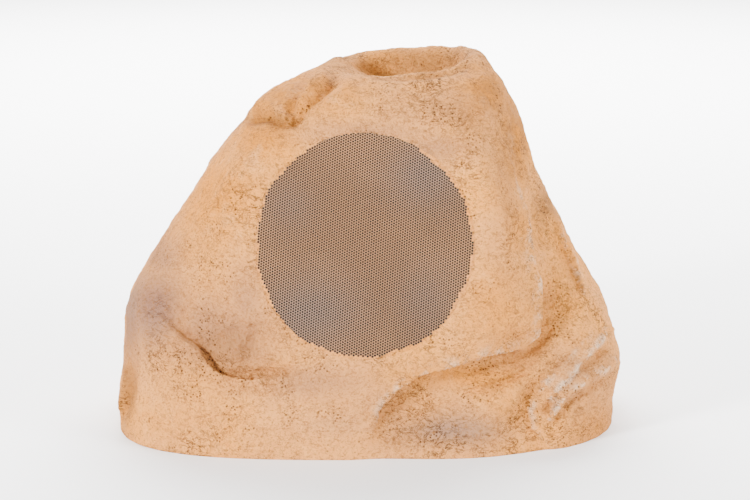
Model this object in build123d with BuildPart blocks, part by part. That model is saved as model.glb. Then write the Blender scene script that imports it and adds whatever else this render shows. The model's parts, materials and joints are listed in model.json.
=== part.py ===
from build123d import *
import math
import os

os.makedirs("parts", exist_ok=True)

# Rock: overall size in mm, x to the right, y to the back, z up, floor at z = 0
WIDTH = 500.0
DEPTH = 340.0
HEIGHT = 360.0

# Outline of the rock: share of the height, then reach to the left and right in
# half widths and to the front and back in half depths
STATIONS = [
    (0.000, 0.991, 0.970, 1.000, 0.990),
    (0.070, 0.991, 0.965, 1.000, 1.000),
    (0.170, 0.975, 1.000, 1.000, 0.990),
    (0.280, 0.962, 0.955, 0.965, 0.940),
    (0.345, 0.955, 0.919, 0.930, 0.895),
    (0.445, 0.874, 0.828, 0.875, 0.820),
    (0.583, 0.742, 0.728, 0.805, 0.710),
    (0.722, 0.612, 0.640, 0.730, 0.595),
    (0.833, 0.484, 0.580, 0.670, 0.495),
    (0.883, 0.437, 0.552, 0.630, 0.447),
    (0.933, 0.295, 0.520, 0.560, 0.390),
    (0.972, 0.200, 0.484, 0.447, 0.318),
    (1.000, 0.096, 0.400, 0.280, 0.200),
]
SQUARE_LEFT = 3.4
SQUARE_RIGHT = 2.7
SQUARE_BACK = 2.5
LEVEL_STEP = 15.0
FRONT_STEP = 6.0
BACK_STEP = 15.0

# Broken edges on the front: points along the edge as shares of the half width
# and height with the depth of the step there, then how far the step fades out
# on its low side and how wide its lip is. The low side is right of the path.
SLAB_EDGE = [
    (-0.01, 0.00, 3), (0.08, 0.12, 12), (0.26, 0.22, 20), (0.48, 0.26, 22), (0.64, 0.32, 28),
    (0.67, 0.40, 28), (0.65, 0.53, 20), (0.61, 0.69, 10), (0.50, 0.85, 0),
]
SICKLE = [
    (-0.20, 0.23, 0), (-0.31, 0.22, 10), (-0.44, 0.21, 16), (-0.54, 0.23, 16), (-0.61, 0.26, 14),
    (-0.68, 0.32, 8), (-0.77, 0.41, 0),
]
RIGHT_FOOT = [(0.83, 0.31, 0), (0.72, 0.22, 10), (0.64, 0.14, 16), (0.61, 0.09, 14), (0.66, 0.03, 6)]
WEDGE = [(-0.61, 0.328, 0), (-0.51, 0.333, 8), (-0.43, 0.350, 9), (-0.44, 0.294, 10), (-0.47, 0.233, 6)]
CROWN_STEP = [(-0.49, 0.84, 0), (-0.40, 0.867, 9), (-0.30, 0.861, 9), (-0.22, 0.87, 0)]
CREASES = [
    (SLAB_EDGE, 38.0, 6.0),
    (SICKLE, 32.0, 6.0),
    (RIGHT_FOOT, 30.0, 8.0),
    (WEDGE, 24.0, 12.0),
    (CROWN_STEP, 24.0, 8.0),
]
FORWARD = 1.6

# Crown: how far its rim drops to the left and to the front, and the dish in it
DROP_LEFT = 6.0
DROP_FRONT = 11.0
DISH_DEPTH = 15.0
DISH_SHARE = 0.7

# Shell walls and the ledge that the base closes against
WALL = 12.0
CROWN_WALL = 46.0
LIP_WALL = 7.0
LEDGE = 14.0
LEDGE_TALL = 12.0
LEDGE_TAPER = 24.0
FIT = 1.0

# Front face that carries the grille: leaning back, flat around the grille
FACE_LEAN = 14.0
FACE_X = -0.02 * WIDTH / 2
FACE_Y = -0.824 * DEPTH / 2
FACE_Z = 0.547 * HEIGHT
FLAT_R = 122.0
FLAT_FADE = 38.0

# Grille and cloth
GRILLE_R = 107.0
GRILLE_FIT = 0.3
SHEET = 1.2
CLOTH = 0.8
HOLE_PITCH = 17.0
HOLE_R = 6.4
HOLE_FIELD_R = 100.0
HOLE_LEAN = 4.2

# Driver, measured along its axis from the front face, inwards is negative
OPENING_R = 96.0
PAD_R = 122.0
PAD_T = 16.0
PILOT_DEPTH = 10.4
GASKET_T = 2.5
BASKET_R = 111.0
FLANGE_T = 4.0
SCREW_CIRCLE_R = BASKET_R - 7.0
DRIVER_SCREWS = 4
BASKET_DEPTH = 53.5
BASKET_WALL = 3.2
LEDGE_R = 51.0
SPIDER_DEPTH = 41.5
WINDOW_IN_R = 60.0
WINDOW_OUT_R = 84.0
SPOKE = 24.0
SURROUND_T = 0.8
ROLL_R = 6.6
ROLL_MID_R = 82.5
ROLL_FACETS = 4
SURROUND_IN_R = 71.0
CONE_R = 75.5
CONE_T = 1.2
CONE_DEPTH = 33.0
COIL_R = 18.9
COIL_T = 0.5
WINDING_T = 0.6
GLUE_GAP = 0.2
AIR_GAP = 0.7
PLATE_R = 48.0
PLATE_T = 6.0
MAGNET_R = 54.0
MAGNET_BORE_R = 30.0
MAGNET_T = 18.0
SPIDER_T = 0.7
SPIDER_WAVES = 2
SPIDER_WAVE = 2.0

# Tweeter on its post
POST_R = 5.0
POST_NUT_R = 9.0
POST_NUT_T = 5.0
TWEETER_R = 24.0
TWEETER_BACK = 46.0
TWEETER_FRONT = 29.0
TWEETER_SEAT = 33.0
DOME_R = 13.0
DOME_TALL = 5.5
DOME_PROFILE = [(1.0, 0.0), (0.82, 0.45), (0.5, 0.82), (0.0, 1.0)]

# Fasteners
SCREW_R = 1.9
SCREW_FIT = 0.3
HEAD_R = 4.0
HEAD_T = 2.6

# Base
PLATE_LIFT = 4.0
BASE_T = 8.0
BASE_GASKET_T = 2.0
BASE_SCREW_AZIMUTHS = [0, 50, 130, 180, 230, 310]

# Crossover on ribs of the base plate
BOARD_X = 35.0
BOARD_Y = -40.0
BOARD_L = 130.0
BOARD_W = 80.0
BOARD_T = 1.6
BOARD_RIB = 6.0
BOARD_RIB_TALL = 10.0
BOARD_MARGIN = 8.0
COIL_OUT_R = 20.0
COIL_IN_R = 8.0
COIL_TALL = 16.0
CAPACITOR_R = 7.0
CAPACITOR_TALL = 22.0
RESISTOR_L = 32.0
RESISTOR_W = 9.0

# Terminals and lead
STRIP_L = 30.0
STRIP_W = 12.0
STRIP_T = 2.0
TAB_W = 5.0
TAB_T = 0.8
TAB_TALL = 9.0
LEAD_W = 5.0
LEAD_T = 2.5
LEAD_RUN = 26.0
LEAD_DROP = 36.0
LEAD_BENDS = [60.0, 25.0]

# Cable gland in the back, along y
GLAND_X = 70.0
GLAND_Z = 48.0
POCKET_R = 22.0
POCKET_DEPTH = 24.0
BOSS_R = 30.0
BOSS_T = 10.0
THREAD_R = 9.8
CORD_R = 4.0
GLAND_BORE_R = 5.0
INSERT_R = 6.5
INSERT_L = 12.0
GLAND_HEX_R = 13.5
GLAND_FLANGE_T = 5.0
GLAND_WASHER_T = 1.5
LOCKNUT_R = 15.0
LOCKNUT_T = 6.0
CAP_END_T = 4.0
GLAND_TAIL = 4.0

# Places worked out from the sizes above
SEAT_Z = PLATE_LIFT + BASE_T + BASE_GASKET_T
BASE_TOP = PLATE_LIFT + BASE_T
BOARD_Z = BASE_TOP + BOARD_RIB_TALL
BOARD_TOP = BOARD_Z + BOARD_T
PAD_BACK = -PAD_T
FLANGE_FRONT = PAD_BACK - GASKET_T
FLANGE_BACK = FLANGE_FRONT - FLANGE_T
SPIDER_SEAT = FLANGE_FRONT - SPIDER_DEPTH
PLATE_FRONT = FLANGE_FRONT - BASKET_DEPTH
PLATE_BACK = PLATE_FRONT - PLATE_T
MAGNET_BACK = PLATE_BACK - MAGNET_T
YOKE_BACK = MAGNET_BACK - PLATE_T
CONE_BACK = FLANGE_FRONT - CONE_DEPTH
POCKET_Y = DEPTH / 2 - POCKET_DEPTH
BOSS_Y = POCKET_Y - BOSS_T

LEAN = math.radians(FACE_LEAN)
FACE = Plane(
    origin=(FACE_X, FACE_Y, FACE_Z),
    x_dir=(1, 0, 0),
    z_dir=(0, -math.cos(LEAN), math.sin(LEAN)),
)
DRIVER_AXIS = Axis(FACE.origin, FACE.z_dir)
DRIVER_SECTION = Plane(origin=FACE.origin, x_dir=FACE.x_dir, z_dir=-FACE.y_dir)
GLAND = Plane(origin=(GLAND_X, 0, GLAND_Z), x_dir=(1, 0, 0), z_dir=(0, 1, 0))


# Shape of the rock


def smooth(t):
    """Soft step from 0 to 1."""
    t = max(0.0, min(1.0, t))
    return t * t * (3 - 2 * t)


def reaches(z):
    """Left, right, front and back reach of the rock at a height."""
    for low, high in zip(STATIONS, STATIONS[1:]):
        if z / HEIGHT <= high[0]:
            break
    t = (z / HEIGHT - low[0]) / (high[0] - low[0])
    left, right, front, back = (a + (b - a) * t for a, b in zip(low[1:], high[1:]))
    return left * WIDTH / 2, right * WIDTH / 2, front * DEPTH / 2, back * DEPTH / 2


def step_depth(crease, x, z, soft):
    """How far a broken edge sets the front back at (x, z)."""
    path, fade, lip = crease
    nearest = None
    for (xa, za, da), (xb, zb, db) in zip(path, path[1:]):
        ax, az = xa * WIDTH / 2, za * HEIGHT
        ux, uz = xb * WIDTH / 2 - ax, zb * HEIGHT - az
        t = max(0.0, min(1.0, ((x - ax) * ux + (z - az) * uz) / (ux * ux + uz * uz)))
        off_x, off_z = x - ax - t * ux, z - az - t * uz
        away = math.hypot(off_x, off_z)
        if nearest is None or away < nearest[0]:
            low_side = uz * off_x - ux * off_z > 0
            nearest = (away, low_side, da + (db - da) * t)
    away, low_side, depth = nearest
    width = fade if low_side or soft else lip
    return depth * math.exp(-((away / width) ** 2))


def skin(azimuth, z, soft=False):
    """Point (x, y) on the outline of the rock at a height, 270 degrees is the front."""
    left, right, front, back = reaches(z)
    ax, ay = math.cos(math.radians(azimuth)), math.sin(math.radians(azimuth))
    reach_x = right if ax > 0 else left
    reach_y = back if ay > 0 else front
    power = SQUARE_BACK if ay > 0 else SQUARE_RIGHT if ax > 0 else SQUARE_LEFT
    reach = ((abs(ax) / reach_x) ** power + (abs(ay) / reach_y) ** power) ** (-1 / power)
    x, y = reach * ax, reach * ay
    if y < 0:
        face_y = FACE_Y + (z - FACE_Z) * math.tan(LEAN)
        off_centre = math.hypot(x - FACE_X, (z - FACE_Z) / math.cos(LEAN))
        flat = smooth((FLAT_R + FLAT_FADE - off_centre) / FLAT_FADE)
        forward = smooth(-FORWARD * y / front)
        y += (face_y - y) * flat
        y += (1 - flat) * forward * max(step_depth(c, x, z, soft) for c in CREASES)
    return x, y


def inset(azimuth, z, wall):
    """Point inside the outline, moved square to it by a wall."""
    x, y = skin(azimuth, z, soft=True)
    ahead = skin(azimuth + BACK_STEP / 2, z, soft=True)
    behind = skin(azimuth - BACK_STEP / 2, z, soft=True)
    along_x, along_y = ahead[0] - behind[0], ahead[1] - behind[1]
    length = math.hypot(along_x, along_y)
    return x - wall * along_y / length, y + wall * along_x / length


def azimuths(front_step):
    """Directions around the rock, closer together across the front."""
    front = [180 + front_step * i for i in range(int(180 / front_step))]
    back = [BACK_STEP * i for i in range(int(180 / BACK_STEP))]
    return back + front


def inset_outline(z, wall):
    """Points of a plain outline inside the rock."""
    return [inset(a, z, wall) for a in azimuths(BACK_STEP)]


def faceted(rings):
    """Solid with flat triangular facets between closed rings of points, capped at both ends."""
    facets = [Face(Wire.make_polygon(rings[0])), Face(Wire.make_polygon(rings[-1]))]
    for low, high in zip(rings, rings[1:]):
        for i in range(len(low)):
            facets.append(Face(Wire.make_polygon((low[i - 1], low[i], high[i]))))
            facets.append(Face(Wire.make_polygon((low[i - 1], high[i], high[i - 1]))))
    return Solid(Shell(facets))


def crown():
    """Rim of the crown, which drops to the left and front, and the ring of the dish inside it."""
    left, right, front, back = reaches(HEIGHT)
    outline = [skin(a, HEIGHT) for a in azimuths(FRONT_STEP)]
    to_left, to_front = DROP_LEFT / (left + right), DROP_FRONT / (front + back)
    drops = [to_left * (right - x) + to_front * (back - y) for x, y in outline]
    rim = [(x, y, HEIGHT + min(drops) - drop) for (x, y), drop in zip(outline, drops)]
    middle = Vector((right - left) / 2, (back - front) / 2, sum(z for x, y, z in rim) / len(rim))
    floor = [middle + (Vector(*point) - middle) * DISH_SHARE - Vector(0, 0, DISH_DEPTH) for point in rim]
    return [rim, [tuple(point) for point in floor]]


LEVELS = [LEVEL_STEP * i for i in range(int(HEIGHT / LEVEL_STEP))]
CAVITY_TOP = HEIGHT - CROWN_WALL
CAVITY = [(SEAT_Z, LIP_WALL + LEDGE), (SEAT_Z + LEDGE_TALL, LIP_WALL + LEDGE)]
CAVITY += [(SEAT_Z + LEDGE_TALL + LEDGE_TAPER, WALL)]
CAVITY += [(CAVITY[-1][0] + (CAVITY_TOP - CAVITY[-1][0]) * i / 9, WALL) for i in range(1, 10)]
BASE_SCREWS = [inset(a, SEAT_Z, LIP_WALL + LEDGE / 2) for a in BASE_SCREW_AZIMUTHS]


# Rock shell: everything hollow in it first, then the rock around that

with BuildPart() as hollow:
    add(faceted([[(*point, z) for point in inset_outline(z, wall)] for z, wall in CAVITY]))
    # Moulded pad for the driver and boss for the cable gland stand into the hollow
    with BuildSketch(FACE.offset(PAD_BACK)):
        Circle(PAD_R)
    extrude(amount=2 * PAD_T, mode=Mode.SUBTRACT)
    with BuildSketch(GLAND.offset(BOSS_Y)):
        Circle(BOSS_R)
    extrude(amount=POCKET_DEPTH, mode=Mode.SUBTRACT)
    # Opening in front of the driver, seat of the grille, and pilot holes
    with BuildSketch(FACE.offset(PAD_BACK)):
        Circle(OPENING_R)
    extrude(amount=PAD_T)
    with BuildSketch(FACE.offset(-SHEET - CLOTH)):
        Circle(GRILLE_R + GRILLE_FIT)
    extrude(amount=PAD_T)
    with BuildSketch(FACE.offset(PAD_BACK)):
        with PolarLocations(SCREW_CIRCLE_R, DRIVER_SCREWS, start_angle=45):
            Circle(SCREW_R + SCREW_FIT / 2)
    extrude(amount=PILOT_DEPTH)
    # Recess for the base plate and its gasket, and pilot holes in the ledge
    with BuildSketch(Plane.XY):
        Polygon(inset_outline(SEAT_Z, LIP_WALL), align=None)
    extrude(amount=SEAT_Z)
    with BuildSketch(Plane.XY.offset(SEAT_Z)):
        with Locations(*BASE_SCREWS):
            Circle(SCREW_R + SCREW_FIT / 2)
    extrude(amount=LEDGE_TALL + HEAD_T)
    # Pocket and hole of the cable gland
    with BuildSketch(GLAND.offset(POCKET_Y)):
        Circle(POCKET_R)
    extrude(amount=POCKET_DEPTH * 2)
    with BuildSketch(GLAND.offset(BOSS_Y)):
        Circle(THREAD_R + SCREW_FIT)
    extrude(amount=BOSS_T)

with BuildPart() as rock_shell:
    add(faceted([[(*skin(a, z), z) for a in azimuths(FRONT_STEP)] for z in LEVELS] + crown()))
    add(hollow.part, mode=Mode.SUBTRACT)
rock_shell.part.label = "rock_shell"
export_step(rock_shell.part, "parts/rock_shell.step")


# Grille sheet and the cloth behind it

lean_cos, lean_sin = math.cos(math.radians(HOLE_LEAN)), math.sin(math.radians(HOLE_LEAN))
hole_rows = int(HOLE_FIELD_R / HOLE_PITCH) + 1
hole_spots = []
for column in range(-hole_rows, hole_rows + 1):
    for row in range(-hole_rows, hole_rows + 1):
        across, up = column * HOLE_PITCH * math.sin(math.radians(60)), (row + column % 2 / 2) * HOLE_PITCH
        if math.hypot(across, up) < HOLE_FIELD_R - HOLE_R:
            hole_spots.append((across * lean_cos + up * lean_sin, up * lean_cos - across * lean_sin))

with BuildPart() as grille:
    with BuildSketch(FACE.offset(-SHEET)):
        Circle(GRILLE_R)
        with Locations(*hole_spots):
            RegularPolygon(HOLE_R, 6, rotation=-HOLE_LEAN, mode=Mode.SUBTRACT)
    extrude(amount=SHEET)
grille.part.label = "grille"
export_step(grille.part, "parts/grille.step")

with BuildPart() as grille_cloth:
    with BuildSketch(FACE.offset(-SHEET - CLOTH)):
        Circle(GRILLE_R)
    extrude(amount=CLOTH)
grille_cloth.part.label = "grille_cloth"
export_step(grille_cloth.part, "parts/grille_cloth.step")


# Woofer

with BuildPart() as driver_gasket:
    with BuildSketch(FACE.offset(FLANGE_FRONT)):
        Circle(SCREW_CIRCLE_R - SCREW_R - FIT)
        Circle(OPENING_R, mode=Mode.SUBTRACT)
    extrude(amount=GASKET_T)
driver_gasket.part.label = "driver_gasket"
export_step(driver_gasket.part, "parts/driver_gasket.step")

SEAT_IN_R = ROLL_MID_R + ROLL_R
with BuildPart() as driver_basket:
    with BuildSketch(DRIVER_SECTION):
        with BuildLine():
            Polyline(
                (SEAT_IN_R, FLANGE_FRONT),
                (BASKET_R, FLANGE_FRONT),
                (BASKET_R, FLANGE_BACK),
                (SEAT_IN_R + BASKET_WALL, FLANGE_BACK),
                (LEDGE_R + BASKET_WALL, SPIDER_SEAT),
                (LEDGE_R + BASKET_WALL, PLATE_FRONT),
                (MAGNET_BORE_R - BASKET_WALL, PLATE_FRONT),
                (MAGNET_BORE_R - BASKET_WALL, PLATE_FRONT + BASKET_WALL),
                (LEDGE_R - 2 * BASKET_WALL, PLATE_FRONT + BASKET_WALL),
                (LEDGE_R - 2 * BASKET_WALL, SPIDER_SEAT),
                (LEDGE_R, SPIDER_SEAT),
                (SEAT_IN_R, FLANGE_BACK),
                close=True,
            )
        make_face()
    revolve(axis=DRIVER_AXIS)
    # Windows between the spokes, and the screw holes
    with BuildSketch(FACE.offset(SPIDER_SEAT)):
        Circle(WINDOW_OUT_R)
        Circle(WINDOW_IN_R, mode=Mode.SUBTRACT)
        with PolarLocations(0, 3, angular_range=180):
            Rectangle(2 * BASKET_R, SPOKE, mode=Mode.SUBTRACT)
    extrude(amount=FLANGE_BACK - SPIDER_SEAT, mode=Mode.SUBTRACT)
    with BuildSketch(FACE.offset(FLANGE_BACK)):
        with PolarLocations(SCREW_CIRCLE_R, DRIVER_SCREWS, start_angle=45):
            Circle(SCREW_R + SCREW_FIT)
    extrude(amount=FLANGE_T, mode=Mode.SUBTRACT)
driver_basket.part.label = "driver_basket"
export_step(driver_basket.part, "parts/driver_basket.step")

ROLL_IN_R = ROLL_R - SURROUND_T
SURROUND_FRONT = FLANGE_FRONT + SURROUND_T
SURROUND_R = OPENING_R - FIT
roll_angles = [math.radians(180 * i / ROLL_FACETS) for i in range(ROLL_FACETS + 1)]
roll_arc = [(math.cos(a), math.sin(a)) for a in roll_angles]
roll_front = [(ROLL_MID_R + ROLL_R * c, SURROUND_FRONT + ROLL_R * s) for c, s in roll_arc]
roll_back = [(ROLL_MID_R + ROLL_IN_R * c, FLANGE_FRONT + ROLL_IN_R * s) for c, s in roll_arc]
with BuildPart() as surround:
    with BuildSketch(DRIVER_SECTION):
        with BuildLine():
            Polyline(
                (SURROUND_R, FLANGE_FRONT),
                (SURROUND_R, SURROUND_FRONT),
                *roll_front,
                (SURROUND_IN_R, SURROUND_FRONT),
                (SURROUND_IN_R, FLANGE_FRONT),
                *reversed(roll_back),
                close=True,
            )
        make_face()
    revolve(axis=DRIVER_AXIS)
surround.part.label = "surround"
export_step(surround.part, "parts/surround.step")

FORMER_R = COIL_R + COIL_T
NECK_R = FORMER_R + GLUE_GAP
with BuildPart() as cone:
    with BuildSketch(DRIVER_SECTION):
        with BuildLine():
            Polyline(
                (CONE_R, FLANGE_FRONT),
                (CONE_R, FLANGE_FRONT - CONE_T),
                (SURROUND_IN_R + CONE_T, FLANGE_FRONT - CONE_T),
                (NECK_R + CONE_T, CONE_BACK - CONE_T),
                (NECK_R + CONE_T, CONE_BACK - 4 * CONE_T),
                (NECK_R, CONE_BACK - 4 * CONE_T),
                (NECK_R, CONE_BACK),
                (SURROUND_IN_R, FLANGE_FRONT),
                close=True,
            )
        make_face()
    revolve(axis=DRIVER_AXIS)
cone.part.label = "cone"
export_step(cone.part, "parts/cone.step")

SPIDER_R = LEDGE_R - GLUE_GAP
spider_in_r = NECK_R
spider_pitch = (LEDGE_R - 2 * BASKET_WALL - spider_in_r) / (2 * SPIDER_WAVES)
spider_front = [(SPIDER_R, SPIDER_SEAT + SPIDER_T)]
spider_front += [
    (LEDGE_R - 2 * BASKET_WALL - i * spider_pitch, SPIDER_SEAT + SPIDER_T + SPIDER_WAVE * (i % 2))
    for i in range(2 * SPIDER_WAVES + 1)
]
spider_back = [(r, h - SPIDER_T) for r, h in reversed(spider_front)]
with BuildPart() as spider:
    with BuildSketch(DRIVER_SECTION):
        with BuildLine():
            Polyline(*spider_front, *spider_back, close=True)
        make_face()
    revolve(axis=DRIVER_AXIS)
spider.part.label = "spider"
export_step(spider.part, "parts/spider.step")

with BuildPart() as voice_coil:
    with BuildSketch(DRIVER_SECTION):
        with BuildLine():
            Polyline(
                (COIL_R, CONE_BACK),
                (FORMER_R, CONE_BACK),
                (FORMER_R, PLATE_FRONT + WINDING_T),
                (FORMER_R + WINDING_T, PLATE_FRONT + WINDING_T),
                (FORMER_R + WINDING_T, PLATE_BACK - WINDING_T),
                (COIL_R, PLATE_BACK - WINDING_T),
                close=True,
            )
        make_face()
    revolve(axis=DRIVER_AXIS)
voice_coil.part.label = "voice_coil"
export_step(voice_coil.part, "parts/voice_coil.step")

with BuildPart() as top_plate:
    with BuildSketch(FACE.offset(PLATE_BACK)):
        Circle(PLATE_R)
        Circle(FORMER_R + WINDING_T + AIR_GAP, mode=Mode.SUBTRACT)
    extrude(amount=PLATE_T)
top_plate.part.label = "top_plate"
export_step(top_plate.part, "parts/top_plate.step")

with BuildPart() as magnet:
    with BuildSketch(FACE.offset(MAGNET_BACK)):
        Circle(MAGNET_R)
        Circle(MAGNET_BORE_R, mode=Mode.SUBTRACT)
    extrude(amount=MAGNET_T)
    chamfer(magnet.edges().filter_by(GeomType.CIRCLE).group_by(SortBy.RADIUS)[-1], CONE_T)
magnet.part.label = "magnet"
export_step(magnet.part, "parts/magnet.step")

POST_BORE_R = POST_R + GLUE_GAP
POLE_R = COIL_R - AIR_GAP
with BuildPart() as yoke:
    with BuildSketch(DRIVER_SECTION):
        with BuildLine():
            Polyline(
                (POST_BORE_R, PLATE_FRONT),
                (POLE_R, PLATE_FRONT),
                (POLE_R, MAGNET_BACK),
                (PLATE_R, MAGNET_BACK),
                (PLATE_R, YOKE_BACK + CONE_T),
                (PLATE_R - CONE_T, YOKE_BACK),
                (POST_BORE_R, YOKE_BACK),
                close=True,
            )
        make_face()
    revolve(axis=DRIVER_AXIS)
yoke.part.label = "yoke"
export_step(yoke.part, "parts/yoke.step")


# Tweeter on its post through the pole

with BuildPart() as tweeter_post:
    with BuildSketch(FACE.offset(YOKE_BACK - POST_NUT_T)):
        RegularPolygon(POST_NUT_R, 6)
    extrude(amount=POST_NUT_T)
    with BuildSketch(FACE.offset(YOKE_BACK)):
        Circle(POST_R)
    extrude(amount=-YOKE_BACK - TWEETER_BACK)
tweeter_post.part.label = "tweeter_post"
export_step(tweeter_post.part, "parts/tweeter_post.step")

with BuildPart() as tweeter_housing:
    with BuildSketch(DRIVER_SECTION):
        with BuildLine():
            Polyline(
                (0, -TWEETER_BACK),
                (TWEETER_R / 2, -TWEETER_BACK),
                (TWEETER_R, -(TWEETER_BACK + TWEETER_FRONT) / 2),
                (TWEETER_R, -TWEETER_FRONT),
                (TWEETER_R - 2 * CONE_T, -TWEETER_FRONT),
                (DOME_R + CONE_T, -TWEETER_SEAT),
                (0, -TWEETER_SEAT),
                close=True,
            )
        make_face()
    revolve(axis=DRIVER_AXIS)
tweeter_housing.part.label = "tweeter_housing"
export_step(tweeter_housing.part, "parts/tweeter_housing.step")

with BuildPart() as tweeter_dome:
    with BuildSketch(DRIVER_SECTION):
        with BuildLine():
            Polyline(
                (0, -TWEETER_SEAT),
                *[(DOME_R * r, DOME_TALL * h - TWEETER_SEAT) for r, h in DOME_PROFILE],
                close=True,
            )
        make_face()
    revolve(axis=DRIVER_AXIS)
tweeter_dome.part.label = "tweeter_dome"
export_step(tweeter_dome.part, "parts/tweeter_dome.step")


# Screws, terminals and lead of the driver

with BuildPart() as driver_screws:
    with BuildSketch(FACE.offset(FLANGE_BACK - HEAD_T)):
        with PolarLocations(SCREW_CIRCLE_R, DRIVER_SCREWS, start_angle=45):
            RegularPolygon(HEAD_R, 6)
    extrude(amount=HEAD_T)
    with BuildSketch(FACE.offset(FLANGE_BACK)):
        with PolarLocations(SCREW_CIRCLE_R, DRIVER_SCREWS, start_angle=45):
            Circle(SCREW_R)
    extrude(amount=FLANGE_T + GASKET_T + PAD_T / 2)
driver_screws.part.label = "driver_screws"
export_step(driver_screws.part, "parts/driver_screws.step")

STRIP_R = (SEAT_IN_R + BASKET_WALL + BASKET_R) / 2
STRIP_BACK = FLANGE_BACK - STRIP_T
with BuildPart() as terminal_strip:
    with BuildSketch(FACE.offset(STRIP_BACK)):
        with Locations((0, -STRIP_R)):
            Rectangle(STRIP_L, STRIP_W)
    extrude(amount=STRIP_T)
    with BuildSketch(FACE.offset(STRIP_BACK)):
        with Locations((-STRIP_L / 2 + TAB_W / 2, -STRIP_R), (STRIP_L / 2 - TAB_W / 2, -STRIP_R)):
            Rectangle(TAB_W, TAB_T)
    extrude(amount=-TAB_TALL)
terminal_strip.part.label = "terminal_strip"
export_step(terminal_strip.part, "parts/terminal_strip.step")

lead_start = FACE.from_local_coords((0, -STRIP_R, STRIP_BACK))
lead_bend = FACE.from_local_coords((0, -STRIP_R, STRIP_BACK - LEAD_RUN))
lead_end = Vector(FACE_X, BOARD_Y - BOARD_W / 2 + BOARD_MARGIN, BOARD_TOP)
lead_turn = lead_end + Vector(0, 0, LEAD_DROP)
with BuildPart() as driver_lead:
    with BuildLine() as lead_path:
        FilletPolyline(lead_start, lead_bend, lead_turn, lead_end, radius=LEAD_BENDS)
    with BuildSketch(FACE.offset(STRIP_BACK)):
        with Locations((0, -STRIP_R)):
            Rectangle(LEAD_W, LEAD_T)
    sweep(path=lead_path.line)
driver_lead.part.label = "driver_lead"
export_step(driver_lead.part, "parts/driver_lead.step")


# Base plate, its gasket and screws

with BuildPart() as base_plate:
    with BuildSketch(Plane.XY.offset(PLATE_LIFT)):
        Polygon(inset_outline(SEAT_Z, LIP_WALL + FIT), align=None)
        with Locations(*BASE_SCREWS):
            Circle(SCREW_R + SCREW_FIT, mode=Mode.SUBTRACT)
    extrude(amount=BASE_T)
    # Ribs that carry the crossover board
    with BuildSketch(Plane.XY.offset(BASE_TOP)):
        with Locations((BOARD_X, BOARD_Y)):
            with GridLocations(BOARD_L - 2 * BOARD_MARGIN, 0, 2, 1):
                Rectangle(BOARD_RIB, BOARD_W)
    extrude(amount=BOARD_RIB_TALL)
base_plate.part.label = "base_plate"
export_step(base_plate.part, "parts/base_plate.step")

with BuildPart() as base_gasket:
    with BuildSketch(Plane.XY.offset(BASE_TOP)):
        Polygon(inset_outline(SEAT_Z, LIP_WALL + LEDGE / 2 + SCREW_R + FIT), align=None)
        Polygon(inset_outline(SEAT_Z, LIP_WALL + LEDGE - FIT), align=None, mode=Mode.SUBTRACT)
    extrude(amount=BASE_GASKET_T)
base_gasket.part.label = "base_gasket"
export_step(base_gasket.part, "parts/base_gasket.step")

with BuildPart() as base_screws:
    with BuildSketch(Plane.XY.offset(PLATE_LIFT - HEAD_T)):
        with Locations(*BASE_SCREWS):
            RegularPolygon(HEAD_R, 6)
    extrude(amount=HEAD_T)
    with BuildSketch(Plane.XY.offset(PLATE_LIFT)):
        with Locations(*BASE_SCREWS):
            Circle(SCREW_R)
    extrude(amount=BASE_T + BASE_GASKET_T + LEDGE_TALL)
base_screws.part.label = "base_screws"
export_step(base_screws.part, "parts/base_screws.step")


# Crossover

with BuildPart() as crossover_board:
    with BuildSketch(Plane.XY.offset(BOARD_Z)):
        with Locations((BOARD_X, BOARD_Y)):
            Rectangle(BOARD_L, BOARD_W)
    extrude(amount=BOARD_T)
crossover_board.part.label = "crossover_board"
export_step(crossover_board.part, "parts/crossover_board.step")

with BuildPart() as crossover_inductor:
    with BuildSketch(Plane.XY.offset(BOARD_TOP)):
        with Locations((BOARD_X + BOARD_L / 5, BOARD_Y + BOARD_MARGIN)):
            Circle(COIL_OUT_R)
            Circle(COIL_IN_R, mode=Mode.SUBTRACT)
    extrude(amount=COIL_TALL)
crossover_inductor.part.label = "crossover_inductor"
export_step(crossover_inductor.part, "parts/crossover_inductor.step")

with BuildPart() as crossover_capacitors:
    with BuildSketch(Plane.XY.offset(BOARD_TOP)):
        with Locations((BOARD_X - BOARD_L / 6, BOARD_Y + BOARD_W / 4)):
            with GridLocations(3 * CAPACITOR_R, 0, 2, 1):
                Circle(CAPACITOR_R)
    extrude(amount=CAPACITOR_TALL)
crossover_capacitors.part.label = "crossover_capacitors"
export_step(crossover_capacitors.part, "parts/crossover_capacitors.step")

with BuildPart() as crossover_resistor:
    with BuildSketch(Plane.XY.offset(BOARD_TOP)):
        with Locations((BOARD_X - BOARD_L / 6, BOARD_Y)):
            Rectangle(RESISTOR_L, RESISTOR_W)
    extrude(amount=RESISTOR_W)
crossover_resistor.part.label = "crossover_resistor"
export_step(crossover_resistor.part, "parts/crossover_resistor.step")


# Cable gland

GLAND_SEAT = POCKET_Y + GLAND_WASHER_T
GLAND_FRONT = GLAND_SEAT + GLAND_FLANGE_T
INSERT_BACK = GLAND_SEAT
INSERT_FRONT = INSERT_BACK + INSERT_L
with BuildPart() as gland_washer:
    with BuildSketch(GLAND.offset(POCKET_Y)):
        Circle(GLAND_HEX_R)
        Circle(THREAD_R + SCREW_FIT, mode=Mode.SUBTRACT)
    extrude(amount=GLAND_WASHER_T)
gland_washer.part.label = "gland_washer"
export_step(gland_washer.part, "parts/gland_washer.step")

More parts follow.
